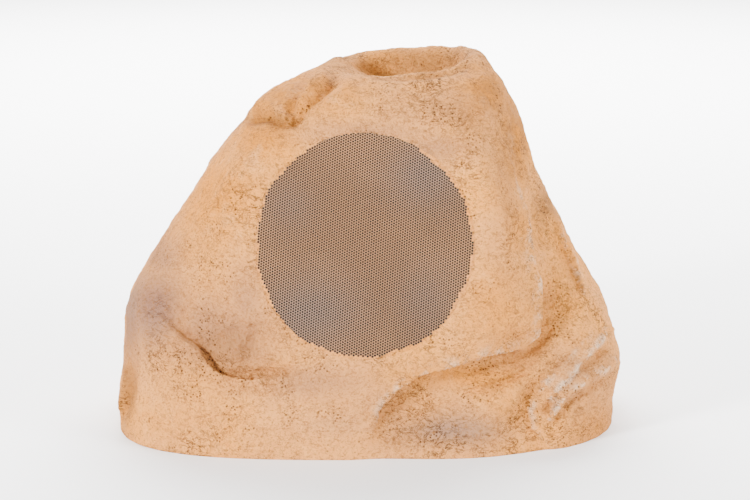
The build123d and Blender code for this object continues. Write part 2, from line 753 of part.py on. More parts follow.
with BuildPart() as gland_body:
    with BuildSketch(GLAND.offset(GLAND_SEAT)):
        RegularPolygon(GLAND_HEX_R, 6)
    extrude(amount=GLAND_FLANGE_T)
    with BuildSketch(GLAND.offset(BOSS_Y - LOCKNUT_T - GLAND_TAIL)):
        Circle(THREAD_R)
    extrude(amount=INSERT_FRONT - SCREW_FIT - BOSS_Y + LOCKNUT_T + GLAND_TAIL)
    with BuildSketch(GLAND.offset(BOSS_Y - LOCKNUT_T - GLAND_TAIL)):
        Circle(GLAND_BORE_R)
    extrude(amount=BOSS_T + LOCKNUT_T + GLAND_TAIL + GLAND_WASHER_T, mode=Mode.SUBTRACT)
    with BuildSketch(GLAND.offset(INSERT_BACK)):
        Circle(INSERT_R + GLUE_GAP)
    extrude(amount=INSERT_L, mode=Mode.SUBTRACT)
gland_body.part.label = "gland_body"
export_step(gland_body.part, "parts/gland_body.step")

with BuildPart() as gland_locknut:
    with BuildSketch(GLAND.offset(BOSS_Y - LOCKNUT_T)):
        RegularPolygon(LOCKNUT_R, 6)
        Circle(THREAD_R + GLUE_GAP, mode=Mode.SUBTRACT)
    extrude(amount=LOCKNUT_T)
gland_locknut.part.label = "gland_locknut"
export_step(gland_locknut.part, "parts/gland_locknut.step")

with BuildPart() as gland_insert:
    with BuildSketch(GLAND.offset(INSERT_BACK)):
        Circle(INSERT_R)
        Circle(CORD_R, mode=Mode.SUBTRACT)
    extrude(amount=INSERT_L)
gland_insert.part.label = "gland_insert"
export_step(gland_insert.part, "parts/gland_insert.step")

with BuildPart() as gland_cap:
    with BuildSketch(GLAND.offset(GLAND_FRONT)):
        RegularPolygon(GLAND_HEX_R, 6)
        Circle(THREAD_R + GLUE_GAP, mode=Mode.SUBTRACT)
    extrude(amount=INSERT_FRONT - GLAND_FRONT)
    with BuildSketch(GLAND.offset(INSERT_FRONT)):
        Circle(GLAND_HEX_R * math.cos(math.radians(30)))
        Circle(GLAND_BORE_R, mode=Mode.SUBTRACT)
    extrude(amount=CAP_END_T)
gland_cap.part.label = "gland_cap"
export_step(gland_cap.part, "parts/gland_cap.step")
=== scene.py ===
# %% [markdown]
# # A rock shaped garden speaker
# The real speaker is a hollow cast rock with a driver behind a round grille in
# its front face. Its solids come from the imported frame, in metres, with the
# grille facing -Y and the floor at z = 0. They could be painted as they are, but
# the solid rock has flat facets and the solid grille has coarse holes. So this
# lesson makes a weathered skin and a finely perforated sheet in their place, and
# gives every other piece a plain material.

# %% Load the frame
import json
import math

import bmesh
import bpy
import numpy as np
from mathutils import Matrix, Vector
from mathutils.bvhtree import BVHTree


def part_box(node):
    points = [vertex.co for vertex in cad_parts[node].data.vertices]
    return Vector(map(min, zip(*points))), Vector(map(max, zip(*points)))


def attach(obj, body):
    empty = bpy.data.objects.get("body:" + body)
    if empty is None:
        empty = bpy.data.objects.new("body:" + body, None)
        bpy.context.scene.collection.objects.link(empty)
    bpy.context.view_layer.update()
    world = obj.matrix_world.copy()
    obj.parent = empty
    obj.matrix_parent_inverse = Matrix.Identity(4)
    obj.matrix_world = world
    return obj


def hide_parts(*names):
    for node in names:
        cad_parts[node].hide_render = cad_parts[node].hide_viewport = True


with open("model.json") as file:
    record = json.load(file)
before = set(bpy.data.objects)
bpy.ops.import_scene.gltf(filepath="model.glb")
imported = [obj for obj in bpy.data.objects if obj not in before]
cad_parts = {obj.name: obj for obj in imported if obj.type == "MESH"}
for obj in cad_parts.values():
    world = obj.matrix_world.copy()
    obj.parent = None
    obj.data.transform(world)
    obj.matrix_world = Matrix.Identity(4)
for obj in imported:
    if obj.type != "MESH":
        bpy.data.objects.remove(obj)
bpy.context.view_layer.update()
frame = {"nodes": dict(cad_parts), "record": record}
nodes = frame["nodes"]

# %% [markdown]
# ## The front face
# The front of the rock is flat and leans back, with the grille in the middle of
# it. Its place could be typed in as numbers. It is taken from the box of the
# solid grille instead, so that the new sheet lands where the solid one is.
# `across` and `upward` span the face, and `outward` points away from it.

# %% Measure the front face
FACE_LEAN = math.radians(14.0)
SHEET = 0.0012
grille_low, grille_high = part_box("grille")
across = Vector((1, 0, 0))
outward = Vector((0, -math.cos(FACE_LEAN), math.sin(FACE_LEAN)))
upward = Vector((0, math.sin(FACE_LEAN), math.cos(FACE_LEAN)))
face_centre = (grille_low + grille_high) / 2 + outward * SHEET / 2
SHEET_R = (grille_high.x - grille_low.x) / 2
print("grille centre", [round(v, 4) for v in face_centre], "radius", round(SHEET_R, 4))

# %% [markdown]
# ## An even skin for the rock
# The real rock is one casting, without a seam and rough all over. It could be
# sculpted by hand, or the solid rock could be divided further, but its long
# facets would give long thin faces, on which fine relief has no points to move.
# An even grid is better: a cube is divided into small squares, and each point is
# later sent along its own ray to the outside of the solid.

# %% Divide a cube into small squares
CELLS = 176
bpy.ops.object.select_all(action="DESELECT")
bpy.ops.mesh.primitive_cube_add(size=2)
rock = bpy.context.object
rock.name = rock.data.name = "rock_skin"
bpy.ops.object.mode_set(mode="EDIT")
bpy.ops.mesh.subdivide(number_cuts=CELLS // 2 - 1)
bpy.ops.mesh.subdivide(number_cuts=1)
bpy.ops.object.mode_set(mode="OBJECT")
print("squares on the cube", len(rock.data.polygons))

# %% [markdown]
# The rock stands on the floor, so the lower half of the cube goes. A bisect in
# edit mode could cut it off, but deleting by height leaves the points on the floor
# exactly where they are. The tangent spreads the rays evenly, so that the squares
# at the cube's corners don't come out smaller than the others.

# %% Keep the upper half and send a ray through every point
LEVEL = 1e-6


def read_points(obj):
    """Places of all vertices as one array."""
    points = np.empty(len(obj.data.vertices) * 3)
    obj.data.vertices.foreach_get("co", points)
    return points.reshape(-1, 3)


def read_edges(obj):
    """The two vertices of every edge."""
    edges = np.empty(len(obj.data.edges) * 2, dtype=np.int64)
    obj.data.edges.foreach_get("vertices", edges)
    return edges.reshape(-1, 2)


ball = bmesh.new()
ball.from_mesh(rock.data)
lower_half = [vertex for vertex in ball.verts if vertex.co.z < -1 / CELLS]
bmesh.ops.delete(ball, geom=lower_half, context="VERTS")
ball.to_mesh(rock.data)
ball.free()
rays = np.tan(read_points(rock) * math.pi / 4)
rays /= np.linalg.norm(rays, axis=1)[:, None]
edges = read_edges(rock)
on_floor = rays[:, 2] < LEVEL
print("squares of the skin", len(rock.data.polygons), "points on the floor", int(on_floor.sum()))

# %% [markdown]
# ## Wrap the skin around the solid
# A Shrinkwrap modifier could pull the grid onto the solid, but it would also
# pull points into the hollow inside and into the grille's seat. Rays that come
# from far outside stop at the outer surface. Over the grille's seat a point goes
# to the plane of the face, and over the gland's pocket in the back to the mean
# of its neighbours, which closes both for now.

# %% Throw the rays onto the solid rock
FAR = 1.0
NEAR = 0.001
middle = Vector((0, 0, NEAR))
shell = bmesh.new()
shell.from_mesh(nodes["rock_shell"].data)
solid = BVHTree.FromBMesh(shell)
points = np.empty_like(rays)
for index, ray in enumerate(rays):
    ray = Vector(ray)
    points[index] = solid.ray_cast(middle + FAR * ray, -ray)[0] or middle
shell.free()
print("farthest point", round(float(np.linalg.norm(points, axis=1).max()), 4))

# %% [markdown]
# The seat of the grille is a round recess in the front face, and rays fall into
# it. The points there could be moved by hand. Working out where each ray meets the
# plane of the face is exact, and it serves the gland's pocket as well.

# %% Close the grille's seat
SEAT_MARGIN = 0.002


def face_coordinates(points):
    """Across, up and out of the front face for an array of points."""
    offset = points - np.array(face_centre)
    return offset @ np.array(across), offset @ np.array(upward), offset @ np.array(outward)


def where_rays_meet(place, normal):
    """Points where the rays meet a plane, or nothing where they run away from it."""
    towards = rays @ np.array(normal)
    reach = (place - middle).dot(normal) / np.where(towards > NEAR, towards, np.nan)
    return np.array(middle) + rays * reach[:, None]


on_plane = where_rays_meet(face_centre, outward)
u, v, _ = face_coordinates(on_plane)
over_seat = np.hypot(u, v) < SHEET_R + SEAT_MARGIN
points[over_seat] = on_plane[over_seat]
print("points over the grille's seat", int(over_seat.sum()))

# %% [markdown]
# The gland sits in a round pocket low in the back, where the rock is curved. A
# plane alone would leave a flat spot. So each point over the pocket takes the mean
# of its neighbours, many times over, until the skin runs across like a soap film.

# %% Close the gland's pocket
GLAND_MARGIN = 0.0105
POCKET_MARGIN = 0.003
CLOSING_ROUNDS = 300
BACKWARD = Vector((0, 1, 0))
gland_low, gland_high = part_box("gland_cap")
gland_x, gland_z = (gland_low.x + gland_high.x) / 2, (gland_low.z + gland_high.z) / 2
POCKET_R = (gland_high.x - gland_low.x) / 2 + GLAND_MARGIN


def from_gland(places):
    """Distance from the gland's axis for an array of points."""
    return np.hypot(places[:, 0] - gland_x, places[:, 2] - gland_z)


def neighbour_mean(values, edges):
    """Mean of each vertex's neighbours, one column at a time."""
    count = np.bincount(edges.ravel(), minlength=len(values))
    total = np.empty_like(values)
    for column in range(values.shape[1]):
        one = np.bincount(edges[:, 0], values[edges[:, 1], column], len(values))
        other = np.bincount(edges[:, 1], values[edges[:, 0], column], len(values))
        total[:, column] = one + other
    return total / np.maximum(count, 1)[:, None]


on_plane = where_rays_meet(gland_high, BACKWARD)
over_pocket = from_gland(on_plane) < POCKET_R + POCKET_MARGIN
points[over_pocket] = on_plane[over_pocket]
near_pocket = edges[over_pocket[edges].any(1)]
for _ in range(CLOSING_ROUNDS):
    points[over_pocket] = neighbour_mean(points, near_pocket)[over_pocket]
points[:, 2] -= NEAR
print("points over the gland's pocket", int(over_pocket.sum()))

# %% [markdown]
# ## Smooth the facets away
# Cast stone has no flat facets. A Smooth modifier could round them, but the
# front face has to stay flat around the grille and the foot has to stay on the
# floor. So each point is moved half way to the mean of its neighbours, a few
# times over, and then the face is flattened again, with the coat standing a
# little over the sheet.

# %% Smooth the skin
ROUNDS = 14
FLAT_R, FLAT_FADE = 0.116, 0.015
COAT = 0.0002


def smooth(t):
    """Soft step from 0 to 1."""
    t = np.clip(t, 0, 1)
    return t * t * (3 - 2 * t)


def write_points(obj, points):
    """Move all vertices to the places of one array."""
    obj.data.vertices.foreach_set("co", points.ravel())
    obj.data.update()


for _ in range(ROUNDS):
    points += (neighbour_mean(points, edges) - points) / 2
    points[on_floor, 2] = 0
u, v, h = face_coordinates(points)
on_face = (points[:, 1] < 0) * smooth((FLAT_R - np.hypot(u, v)) / FLAT_FADE)
points += ((COAT - h) * on_face)[:, None] * np.array(outward)
write_points(rock, points)
print("highest point", round(points[:, 2].max(), 4))

# %% [markdown]
# ## The photographer's place
# The broken edges and the stains of the rock are to lie where the photograph
# shows them. They could be placed by guessing in 3D. It is easier to work out
# where the camera stood, and then to say for each point of the skin which pixel
# it is seen at.

# %% Measure the camera
CAMERA_UP = math.radians(12.0)
CAMERA_AWAY = 1.9
CAMERA_TARGET = Vector((0.005, 0, 0.163))
LENS = 91.59
SENSOR = 36.0
PHOTO_WIDTH, PHOTO_HEIGHT = 750, 500
PIXEL = CAMERA_AWAY * SENSOR / LENS / PHOTO_WIDTH
towards_camera = Vector((0, -math.cos(CAMERA_UP), math.sin(CAMERA_UP)))
camera_place = CAMERA_TARGET + CAMERA_AWAY * towards_camera
print("one pixel of the photograph at the rock, mm", round(1000 * PIXEL, 3))

# %% [markdown]
# Details belong only on what the photograph shows. A ray to the camera could test
# each point, but a hard test leaves a hard border. The angle between the normal
# and the camera gives a soft one, and the flat face around the grille is faded out
# in the same way.

# %% See the skin as the camera does
TURNED = 0.25
DETAIL_R, DETAIL_FADE = 0.110, 0.010


def photo_coordinates(points):
    """Where points lie in the photograph, in pixels from its top left corner."""
    offset = points - np.array(camera_place)
    depth = offset @ np.array((0, math.cos(CAMERA_UP), -math.sin(CAMERA_UP)))
    rise = offset @ np.array((0, math.sin(CAMERA_UP), math.cos(CAMERA_UP)))
    scale = PHOTO_WIDTH * LENS / SENSOR / depth
    return PHOTO_WIDTH / 2 + offset[:, 0] * scale, PHOTO_HEIGHT / 2 - rise * scale


def read_normals(obj):
    """Normals of all vertices as one array."""
    normals = np.empty(len(obj.data.vertices) * 3)
    obj.data.vertex_normals.foreach_get("vector", normals)
    return normals.reshape(-1, 3)


normals = read_normals(rock)
px, py = photo_coordinates(points)
to_camera = np.array(camera_place) - points
to_camera /= np.linalg.norm(to_camera, axis=1)[:, None]
turned = (normals * to_camera).sum(1)
u, v, _ = face_coordinates(points)
off_centre = np.hypot(u, v)
facing = smooth(turned / TURNED) * smooth((off_centre - DETAIL_R) / DETAIL_FADE)
print("points that face the camera", int((facing > 0).sum()), "of", len(points))

# %% [markdown]
# ## Broken edges, grooves and ridges
# The real rock is cast to look like broken stone: slabs end in steps, with cracks
# and ridges between them. They could be drawn with a sculpting brush, but a brush
# leaves nothing to read or change. Here each is a path of pixels in the
# photograph. A step has its low side to the right of its path, where it is cut
# in, and a lip on the other side. It has a height in millimetres at each point of
# its path, and the widths of both sides in metres.

# %% Paths of the steps
STEPS = {
    "slab": ([(372, 436), (379, 412), (399, 391), (424, 376), (456, 366), (492, 356), (524, 351),
              (538, 337), (542, 318), (541, 296), (536, 262), (531, 230), (522, 190), (512, 160)],
             (0, 4, 8, 10, 11, 12, 12, 11, 10, 9, 7, 5, 3, 0), 0.013, 0.007),
    "sickle": ([(312, 373), (280, 377), (250, 379), (227, 375), (212, 367), (198, 348),
                (182, 338), (168, 323), (156, 308)],
               (0, 6, 9, 10, 10, 9, 7, 4, 0), 0.009, 0.004),
    "wedge": ([(204, 333), (225, 331), (243, 327), (258, 322), (253, 343), (247, 358), (240, 371)],
              (0, 3, 4, 4, 4, 3, 1), 0.014, 0.004),
    "crown step": ([(243, 120), (252, 114), (268, 112), (280, 118), (292, 117), (306, 108)],
                   (1, 9, 11, 10, 9, 0), 0.008, 0.007),
    "dish": ([(480, 64), (457, 73), (430, 79), (403, 81), (377, 79), (360, 73), (342, 61)],
             (0, 4, 6, 7, 7, 6, 2), 0.020, 0.006),
    "right foot": ([(599, 322), (583, 341), (562, 362), (545, 380), (532, 399), (529, 414),
                    (533, 430), (546, 444)],
                   (0, 2, 4, 5, 5, 4, 3, 1), 0.013, 0.006),
    "right ridge": ([(552, 215), (562, 238), (573, 262), (582, 286), (586, 302)],
                    (0, 4, 6, 5, 0), 0.009, 0.005),
    "lower ledge": ([(452, 392), (478, 386), (503, 378), (520, 369), (531, 358)],
                    (0, 4, 6, 5, 0), 0.008, 0.005),
    "left foot": ([(117, 428), (122, 408), (124, 390), (126, 372), (128, 356)],
                  (0, 7, 9, 7, 0), 0.011, 0.005),
}
print("steps", len(STEPS))

# %% [markdown]
# Cracks and the stripes of the right foot have no high and low side. They could be
# steps too, but then one side would sink. A groove is cut in, and a ridge raised,
# on both sides of its path alike, with one height and one width in metres.

# %% Paths of the grooves and the ridges
GROOVES = {
    "lobe one": ([(313, 69), (302, 86), (288, 107)], 0.009, 0.0050),
    "lobe two": ([(334, 80), (314, 97), (292, 116)], 0.010, 0.0055),
    "notch": ([(248, 117), (258, 113), (268, 111)], 0.008, 0.0025),
    "crown crack": ([(459, 97), (469, 113), (475, 127), (484, 138)], 0.0016, 0.0018),
    "stria": ([(604, 350), (580, 370), (560, 391), (547, 410)], 0.005, 0.0035),
    "lower stria": ([(612, 377), (590, 388), (570, 402), (556, 420)], 0.005, 0.0040),
    "foot crack": ([(383, 437), (398, 441), (414, 436), (438, 444), (470, 439), (503, 444)],
                   0.0016, 0.0018),
    "left crack": ([(196, 423), (222, 417), (246, 422), (262, 430), (286, 431), (300, 437)],
                   0.0014, 0.0018),
    "ledge crack": ([(384, 421), (396, 422), (405, 421)], 0.0014, 0.0018),
}
RIDGES = {
    "upper stria": ([(609, 330), (592, 352), (571, 376), (552, 398)], 0.004, 0.0040),
    "middle stria": ([(612, 362), (588, 380), (566, 398), (550, 418)], 0.003, 0.0040),
    "lobe one": ([(334, 62), (318, 78), (300, 100)], 0.006, 0.0080),
    "lobe two": ([(300, 68), (285, 84), (262, 104)], 0.006, 0.0080),
}
print("grooves", len(GROOVES), "ridges", len(RIDGES))

# %% [markdown]
# A groove could be cut by deleting faces, but the skin has to stay closed. The
# paths move points instead, along their normals, where they face the camera and
# lie away from the grille. `scuff` keeps where a lip is worn pale, and `shade`
# where the low side of a step or groove gets painted shade, because the finish
# needs both later.

# %% Cut the steps
LIP = 0.35
WORN = 0.007
SCUFFED = {"slab": 0.7, "right foot": 0.8, "right ridge": 0.6,
           "upper stria": 0.9, "middle stria": 0.9}
scuff, shade, move = np.zeros((3, len(points)))


def along_path(path):
    """Metres from a path for each point of the skin, its side (1 is right) and place along it."""
    best = np.full(len(px), np.inf)
    side = np.zeros(len(px))
    place = np.zeros(len(px))
    for number, ((xa, ya), (xb, yb)) in enumerate(zip(path, path[1:])):
        ux, uy = xb - xa, yb - ya
        t = np.clip(((px - xa) * ux + (py - ya) * uy) / (ux * ux + uy * uy), 0, 1)
        off_x, off_y = px - xa - t * ux, py - ya - t * uy
        away = np.hypot(off_x, off_y)
        nearer = away < best
        best[nearer] = away[nearer]
        side[nearer] = np.sign(ux * off_y - uy * off_x)[nearer]
        place[nearer] = (number + t)[nearer]
    return best * PIXEL, side, place


def bell(away, width):
    """A soft hill, 1 in the middle."""
    return np.exp(-((away / width) ** 2))


for name, (path, heights, low_width, high_width) in STEPS.items():
    away, side, place = along_path(path)
    height = np.interp(place, range(len(path)), heights) / 1000
    low = np.where(side > 0, bell(away, low_width), 0)
    high = np.where(side > 0, 0, bell(away, high_width))
    move += (LIP * high - low) * height
    scuff = np.maximum(scuff, SCUFFED.get(name, 0) * high * np.minimum(height / WORN, 1))
    # painted shade: the low side of each step is kept here, to be darkened in the colour
    shade = np.maximum(shade, low * np.minimum(height / WORN, 1))
print("deepest step, mm", round(-1000 * move.min(), 1))

# %% [markdown]
# Grooves and ridges could be moved one after the other, but then each path would
# be bent by the one before it. All movements are added up and done at once. The
# skin then settles a little, because cast edges are never quite sharp.

# %% Cut the grooves and raise the ridges
SETTLE = 0.25
for path, depth, width in GROOVES.values():
    cut = bell(along_path(path)[0], width)
    move -= cut * depth
    # painted shade: the cut of each groove is kept here, to be darkened in the colour
    shade = np.maximum(shade, cut)
for name, (path, height, width) in RIDGES.items():
    raised = bell(along_path(path)[0], width)
    move += raised * height
    scuff = np.maximum(scuff, SCUFFED.get(name, 0) * raised)
points += (move * facing)[:, None] * normals
points += (neighbour_mean(points, edges) - points) * SETTLE
print("deepest cut, mm", round(-1000 * move.min(), 1))

# %% [markdown]
# The far rim of the crown stands higher on the real rock than on the solid. It
# could be a ridge, but it faces away from the camera, where paths do nothing. So
# it is lifted straight up, by millimetres at pixels across the photograph.

# %% Raise the far rim of the crown
RIM_PIXELS = (325, 340, 380, 440, 460, 480, 497, 512)
RIM_LIFT = (0, 2, 6, 9, 10, 10, 5, 0)
RIM_LINE, RIM_FADE = 72, 10
CROWN_Z = 0.3
lift = np.interp(px, RIM_PIXELS, RIM_LIFT) / 1000 * smooth((RIM_LINE - py) / RIM_FADE)
points[:, 2] += lift * (points[:, 2] > CROWN_Z)
points[on_floor, 2] = 0
points[:, 2] = np.maximum(points[:, 2], 0)
write_points(rock, points)
print("highest point", round(points[:, 2].max(), 4))

# %% [markdown]
# ## Stains
# The real rock has large soft stains of pinkish grey, deep orange, brown and stone
# grey. They could be painted on an image, but noise and a few ovals need no image
# and stay clean at any size. Each oval has its middle, half width and half height
# in pixels, and a strength. The brown ovals are partly real stains and partly
# painted shade: in the dish of the crown, under the crown's step and along the
# left edge. The back keeps to the noise of the material alone.

# %% Ovals of the stains
STAINS = {
    "grey": [
        (440, 112, 75, 26, 0.35), (452, 430, 62, 22, 0.45), (215, 335, 80, 45, 0.72),
        (310, 382, 75, 20, 0.55), (500, 205, 18, 60, 0.26), (155, 308, 40, 48, 1.0),
        (385, 405, 45, 30, 0.35), (130, 315, 20, 50, 1.0), (245, 300, 22, 40, 0.6),
        (160, 258, 28, 30, 0.7), (435, 148, 40, 16, 0.6), (365, 134, 70, 14, 0.55)],
    "orange": [
        (545, 290, 16, 75, 0.2), (575, 220, 22, 60, 0.7), (455, 378, 75, 10, 0.7),
        (215, 190, 52, 70, 0.85), (410, 64, 60, 12, 0.3), (290, 95, 48, 26, 0.9),
        (495, 300, 36, 45, 0.6), (600, 425, 30, 25, 0.4), (170, 415, 60, 30, 0.4),
        (128, 390, 10, 40, 0.5), (518, 130, 18, 65, 1.0), (330, 95, 40, 25, 0.7),
        (258, 135, 42, 32, 1.0), (485, 92, 26, 26, 1.0), (520, 230, 20, 40, 0.6)],
    # brown: real stains, and painted shade in the dish, under the crown step and on the left edge
    "brown": [
        (415, 66, 62, 10, 0.5), (228, 345, 30, 16, 0.5), (262, 119, 24, 6, 0.8),
        (285, 93, 30, 14, 0.2), (125, 390, 6, 50, 0.6), (122, 318, 16, 45, 0.6),
        (515, 125, 16, 60, 0.5), (332, 56, 20, 12, 0.9), (492, 88, 18, 20, 0.4),
        (548, 205, 12, 22, 0.8)],
    "stone": [
        (452, 431, 46, 14, 1.0), (130, 300, 12, 26, 0.7), (572, 372, 32, 30, 0.4),
        (150, 325, 22, 18, 0.3), (330, 425, 40, 12, 0.3)],
}
print("ovals", {name: len(ovals) for name, ovals in STAINS.items()})

# %% [markdown]
# A material knows nothing of pixels in a photograph. The ovals could be made again
# in nodes, but that needs long chains of them. A value for each point, kept as an
# attribute, travels with the mesh and is read by one node.

# %% Keep the tints as attributes of the skin
SEEN = 0.12


def cover(ovals, x_pixels, y_pixels):
    """How strongly a list of ovals covers each place in the photograph."""
    strongest = np.zeros(len(x_pixels))
    for x, y, half_width, half_height, strength in ovals:
        away = ((x_pixels - x) / half_width) ** 2 + ((y_pixels - y) / half_height) ** 2
        strongest = np.maximum(strongest, strength * np.exp(-away))
    return strongest


def keep_tint(obj, name, values):
    """Store one value per point under a name that a material can read."""
    layer = obj.data.attributes.new(name, "FLOAT", "POINT")
    layer.data.foreach_set("value", values)
    print("tint", name, "mean", round(float(values.mean()), 3))


keep_tint(rock, "scuff", scuff * facing)
# the painted shade of the steps' low sides and of the grooves goes onto the skin
keep_tint(rock, "shade", shade * facing)
for name, ovals in STAINS.items():
    keep_tint(rock, name, cover(ovals, px, py) * smooth(turned / SEEN))

# %% [markdown]
# ## Weathering
# Between its edges the real rock is uneven in soft lumps. They could be left to
# a bump in the material, but then the outline would stay smooth. Displace
# modifiers with cloud textures of three sizes move the points themselves, less
# around the grille, so that the sheet stays in its seat, and not on the floor.

# %% Say where the weather works
CALM_R, CALM_FADE = 0.105, 0.02
FLOOR_FADE = 0.01
group = rock.vertex_groups.new(name="weather")
near_face = np.where(points[:, 1] < 0, smooth((off_centre - CALM_R) / CALM_FADE), 1)
weight = near_face * smooth(points[:, 2] / FLOOR_FADE)
for index in np.flatnonzero(weight > 0):
    group.add([int(index)], float(weight[index]), "REPLACE")
print("weathered points", int((weight > 0).sum()))

# %% [markdown]
# Each cloud texture is one size of lump: broad, middle and fine. One texture with
# much detail could do it, but three can be set apart. Their modifiers are applied
# at once, so that the finished mesh holds its shape by itself.

# %% Weather the skin
CLOUDS = ((0.050, 0.0060, "SOFT"), (0.017, 0.0030, "SOFT"), (0.007, 0.0014, "HARD"))
CLOUD_DETAIL = 2


def only(obj):
    """Select one object alone and make it active, because operators work on what is selected."""
    bpy.ops.object.select_all(action="DESELECT")
    obj.select_set(True)
    bpy.context.view_layer.objects.active = obj


only(rock)
for size, depth, kind in CLOUDS:
    clouds = bpy.data.textures.new(f"clouds {size}", "CLOUDS")
    clouds.noise_scale = size
    clouds.noise_depth = CLOUD_DETAIL
    clouds.noise_type = f"{kind}_NOISE"
    push = rock.modifiers.new("push", "DISPLACE")
    push.texture = clouds
    push.strength = depth
    push.vertex_group = "weather"
    bpy.ops.object.modifier_apply(modifier=push.name)
    print("clouds of", size, "by", depth)

# %% [markdown]
# ## Openings
# On the real speaker the stone coat runs a little over the rim of the grille and
# ends there in an uneven line, and the gland sits in a pocket in the back. A
# Boolean could cut both, but a cut through thousands of small faces is slow and
# leaves slivers. The faces inside the line are deleted instead, and the rim that
# is left is pulled to the line.

# %% Delete the faces over the grille and the pocket
COAT_R = 0.1032
SHEET_EDGE = 0.0025
BACK_Y = 0.1
TALL = -math.pi / 2
COAT_WAVES = ((2, 0.0016, TALL), (3, 0.0006, 0.4), (7, 0.0005, 2.1), (13, 0.0004, 4.0),
              (29, 0.0004, 1.3))


def wavy(radius, waves, angle):
    """A circle with waves on it, each with its count, its height and its start."""
    return radius + sum(size * np.sin(count * angle + start) for count, size, start in waves)


def coat_radius(angle):
    """Where the coat ends around the grille."""
    return np.minimum(wavy(COAT_R, COAT_WAVES, angle), SHEET_R - SHEET_EDGE)


skin = bmesh.new()
skin.from_mesh(rock.data)
middles = np.array([face.calc_center_median() for face in skin.faces])
u, v, _ = face_coordinates(middles)
in_grille = (middles[:, 1] < 0) & (np.hypot(u, v) < coat_radius(np.arctan2(v, u)))
in_pocket = (middles[:, 1] > BACK_Y) & (from_gland(middles) < POCKET_R)
opened = [face for face, gone in zip(skin.faces, in_grille | in_pocket) if gone]
bmesh.ops.delete(skin, geom=opened, context="FACES")
print("faces deleted", int(in_grille.sum()), "and", int(in_pocket.sum()))

# %% [markdown]
# Deleting whole squares leaves a rim like a staircase. A finer grid would make the
# stairs smaller, but not smooth. Moving each point of the rim along its radius to
# the line of the coat makes it clean.

# %% Pull the rim of the coat to its line
FACE_FOOT = 0.05
rim = [v for v in skin.verts if v.is_boundary and v.co.y < 0 and v.co.z > FACE_FOOT]
for vertex in rim:
    offset = vertex.co - face_centre
    side, rise = offset.dot(across), offset.dot(upward)
    reach = float(coat_radius(math.atan2(rise, side))) / math.hypot(side, rise)
    vertex.co = face_centre + reach * (side * across + rise * upward) + COAT * outward
print("points on the rim of the coat", len(rim))

# %% [markdown]
# The real casting has a wall. A Solidify modifier could give it one, but it would
# double every face for a thickness that shows only at the open edges. So only
# those are extruded inwards: the wall of the gland's pocket, and the underside of
# the foot.

# %% Draw the open edges in
POCKET_WALL = Vector((0, -0.030, 0))
POCKET_FOOT = 0.01
FOOT_EDGE = 0.004
FOOT_RIM = 0.0075
FOOT_WALL = Vector((0, 0, 0.012))


def draw_in(wanted, shift):
    """Extrude the open edges that lie in one place, each point by its own shift."""
    open_edges = [e for e in skin.edges if e.is_boundary and all(wanted(v.co) for v in e.verts)]
    made = bmesh.ops.extrude_edge_only(skin, edges=open_edges)["geom"]
    for vertex in made:
        if isinstance(vertex, bmesh.types.BMVert):
            vertex.co += shift(vertex.co)
    print("drawn in edges", len(open_edges))


draw_in(lambda p: p.y > BACK_Y and p.z > POCKET_FOOT, lambda p: POCKET_WALL)
draw_in(lambda p: p.z < FOOT_EDGE, lambda p: -FOOT_RIM * Vector((p.x, p.y, 0)).normalized())
draw_in(lambda p: p.z < FOOT_EDGE, lambda p: FOOT_WALL)
skin.to_mesh(rock.data)
skin.free()
only(rock)
bpy.ops.object.shade_smooth()
print("skin faces", len(rock.data.polygons))

# %% [markdown]
# ## The perforated sheet
# The real grille is a thin steel sheet with thousands of punched holes, coated
# together with the rock. A pattern of dark dots on a disc would look flat from
# the side. So one cell is modelled, a hexagon that is inset and extruded
# inwards, and then copied along the lattice by arrays.

# %% One cell of the sheet
PITCH = 0.0025
HOLE_R = 0.00127
HOLE_WALL = 0.0006
CELL_SIDES = 6
CELL_R = PITCH / math.sqrt(3)
CELL_TURN = math.pi / CELL_SIDES
bpy.ops.object.select_all(action="DESELECT")
bpy.ops.mesh.primitive_circle_add(vertices=CELL_SIDES, radius=CELL_R, fill_type="NGON",
                                  rotation=(0, 0, CELL_TURN))
sheet = bpy.context.object
sheet.name = sheet.data.name = "perforated_sheet"
bpy.ops.object.transform_apply(location=True, rotation=True, scale=True)
bpy.ops.object.mode_set(mode="EDIT")
bpy.ops.mesh.select_all(action="SELECT")
bpy.ops.mesh.inset(thickness=(CELL_R - HOLE_R) * math.cos(CELL_TURN))
bpy.ops.mesh.extrude_region_move(TRANSFORM_OT_translate={"value": (0, 0, -HOLE_WALL)})
bpy.ops.object.mode_set(mode="OBJECT")
cell_points, cell_faces = len(sheet.data.vertices), len(sheet.data.polygons)
lowest = min(sheet.data.polygons, key=lambda face: face.center.z).index
print("points of a cell", cell_points, "faces", cell_faces, "its floor is face", lowest)

# %% [markdown]
# Punched holes stand in staggered columns. Each could be copied by itself, but for
# thousands that takes long. Three Array modifiers are enough: a column, its shifted
# neighbour, and then that pair side by side.

# %% Copy the cell along the lattice
LATTICE_ANGLE = math.radians(60)
COLUMN_STEP = PITCH * math.sin(LATTICE_ANGLE)
SPARE_ROWS, SPARE_PAIRS = 4, 2
rows = 2 * int(SHEET_R / PITCH) + SPARE_ROWS
column_pairs = int(SHEET_R / COLUMN_STEP) + SPARE_PAIRS


def repeat(count, step):
    """Copy the sheet so far in a row."""
    array = sheet.modifiers.new("repeat", "ARRAY")
    array.count = count
    array.use_relative_offset = False
    array.use_constant_offset = True
    array.constant_offset_displace = step
    bpy.ops.object.modifier_apply(modifier=array.name)


only(sheet)
repeat(rows, (0, PITCH, 0))
repeat(2, (COLUMN_STEP, PITCH / 2, 0))
repeat(column_pairs, (2 * COLUMN_STEP, 0, 0))
print("cells", len(sheet.data.vertices) // cell_points)

# %% [markdown]
# The lattice leans a little on the real sheet. It could be turned with its object,
# but a finished piece keeps its object unturned, so that its patterns stay in
# place. So the points themselves are centred on one cell and turned.

